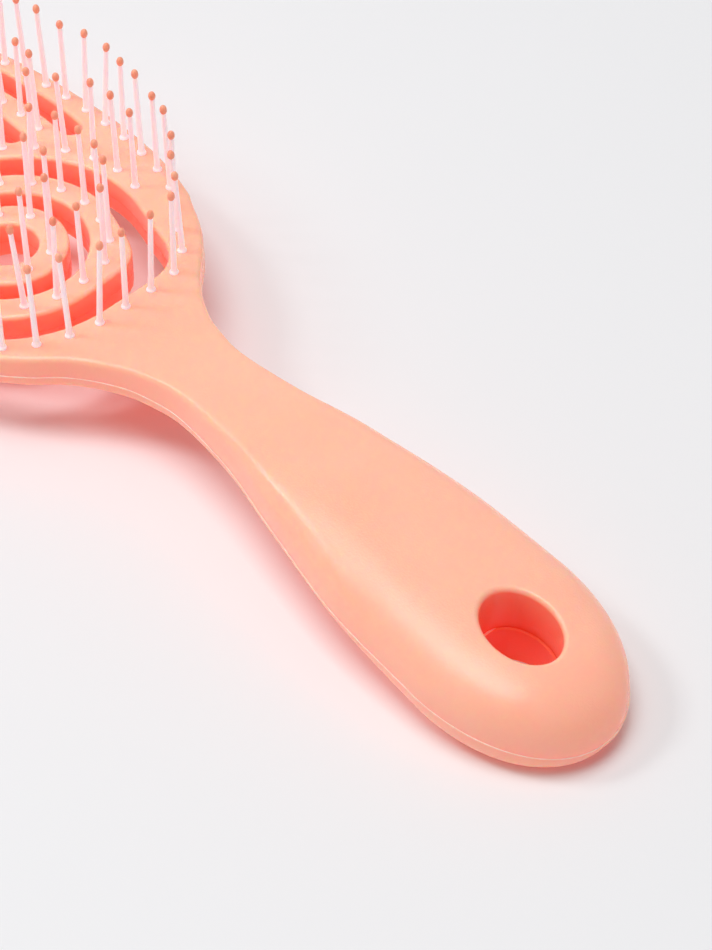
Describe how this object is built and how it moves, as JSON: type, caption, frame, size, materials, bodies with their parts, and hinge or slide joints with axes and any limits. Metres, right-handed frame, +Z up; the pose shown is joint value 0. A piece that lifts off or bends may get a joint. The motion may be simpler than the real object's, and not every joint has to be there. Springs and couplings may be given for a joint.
{
  "type": "vented detangling hairbrush",
  "caption": "Vented hairbrush with an oval head of coiled and arched bands, ball-tipped nylon pins, and a hollow handle with a hanging hole, built from two clamped shells.",
  "frame": {"origin": "middle of the brush's footprint, on the surface that it lies on", "axes": "+Y from the handle's butt to the tip of the head, +X to the right seen from above with the pins up, +Z up along the pins"},
  "size_m": [0.0666, 0.225, 0.0361],
  "materials": {
    "coral_plastic": "satin moulded plastic",
    "coral_back_plastic": "satin moulded plastic",
    "white_nylon": "smooth nylon"
  },
  "bodies": {
    "root": {"back_cover": "coral_back_plastic", "front_frame": "coral_plastic", "pin_strip_coil_01": "white_nylon", "pin_strip_coil_02": "white_nylon", "pin_strip_coil_03": "white_nylon", "pin_strip_coil_04": "white_nylon", "pin_strip_coil_05": "white_nylon", "pin_strip_coil_06": "white_nylon", "pin_strip_coil_07": "white_nylon", "pin_strip_coil_08": "white_nylon", "pin_strip_inner_arch_01": "white_nylon", "pin_strip_inner_arch_02": "white_nylon", "pin_strip_inner_arch_03": "white_nylon", "pin_strip_outer_arch_01": "white_nylon", "pin_strip_outer_arch_02": "white_nylon", "pin_strip_outer_arch_03": "white_nylon", "pin_strip_outer_arch_04": "white_nylon", "pin_strip_outer_arch_05": "white_nylon", "pin_strip_rim_01": "white_nylon", "pin_strip_rim_02": "white_nylon", "pin_strip_rim_03": "white_nylon", "pin_strip_rim_04": "white_nylon", "pin_strip_rim_05": "white_nylon", "pin_strip_rim_06": "white_nylon", "pin_strip_rim_07": "white_nylon", "pin_strip_rim_08": "white_nylon", "pin_strip_rim_09": "white_nylon", "pin_strip_tongue_left": "white_nylon", "pin_strip_tongue_right": "white_nylon"}
  },
  "joints": []
}
